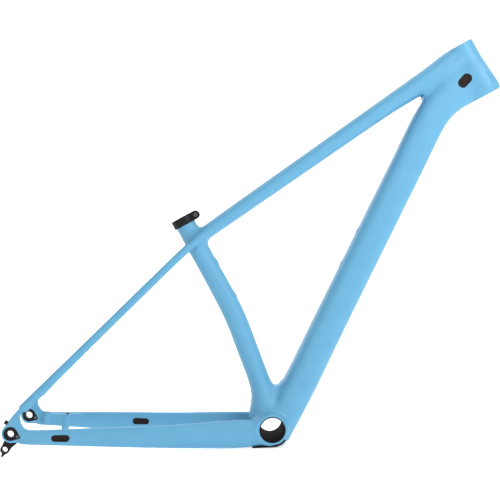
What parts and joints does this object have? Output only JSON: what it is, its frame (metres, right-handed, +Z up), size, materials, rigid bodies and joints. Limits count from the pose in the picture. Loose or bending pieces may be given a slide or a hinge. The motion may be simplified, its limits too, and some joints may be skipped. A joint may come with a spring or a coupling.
{
  "type": "bicycle frame",
  "caption": "Hardtail mountain bicycle frame in satin blue: tapered head tube, press-fit bottom bracket shell, internal cable ports, through-axle dropouts and seat clamp.",
  "frame": {"origin": "centre of the bottom bracket, on the frame's middle plane", "axes": "+X forward, +Y to the rider's left along the bottom bracket axis, +Z up, with the frame in its riding attitude"},
  "size_m": [0.9199, 0.1678, 0.6552],
  "materials": {
    "frame_paint": "satin light blue paint over carbon laminate",
    "black_anodised": "black anodised, satin",
    "black_plastic": "moulded black, fine texture",
    "port_rubber": "dark brown-black rubber",
    "black_steel": "black oxide",
    "insert_alloy": "plain alloy"
  },
  "bodies": {
    "frame": {"head_tube": "frame_paint", "top_tube": "frame_paint", "down_tube": "frame_paint", "seat_tube": "frame_paint", "bottom_bracket_shell": "frame_paint", "right_chainstay": "frame_paint", "left_chainstay": "frame_paint", "right_seatstay": "frame_paint", "left_seatstay": "frame_paint", "right_dropout": "frame_paint", "left_dropout": "frame_paint", "bottom_bracket_sleeve": "black_anodised", "upper_bearing_seat": "black_anodised", "lower_bearing_seat": "black_anodised", "derailleur_hanger": "black_anodised", "axle_nut_plate": "black_anodised", "left_axle_insert": "black_anodised", "dropout_screws": "black_steel", "rear_cable_plug": "port_rubber", "right_head_port_rim": "black_plastic", "left_head_port_rim": "black_plastic", "right_chainstay_port_rim": "black_plastic", "left_chainstay_port_rim": "black_plastic", "right_head_port_plug": "port_rubber", "left_head_port_plug": "port_rubber", "right_chainstay_port_plug": "port_rubber", "left_chainstay_port_plug": "port_rubber", "brake_mount_sleeves": "insert_alloy", "down_tube_bottle_inserts": "insert_alloy", "seat_tube_bottle_inserts": "insert_alloy", "bottom_bracket_cover": "black_plastic", "bottom_bracket_cover_screws": "black_steel"},
    "seat_clamp": {"seat_clamp_collar": "black_anodised", "seat_clamp_nut": "black_steel"},
    "seat_clamp_bolt": {"seat_clamp_bolt": "black_steel"}
  },
  "joints": [
    {"name": "seat_clamp_turn", "type": "hinge", "parent": "frame", "child": "seat_clamp", "pos_m": [-0.10724, 0, 0.37165], "axis": [-0.3681, 0, 0.9298], "continuous": true},
    {"name": "clamp_bolt_turn", "type": "hinge", "parent": "seat_clamp", "child": "seat_clamp_bolt", "pos_m": [-0.08549, 0, 0.38026], "axis": [0, 1, 0], "continuous": true}
  ]
}
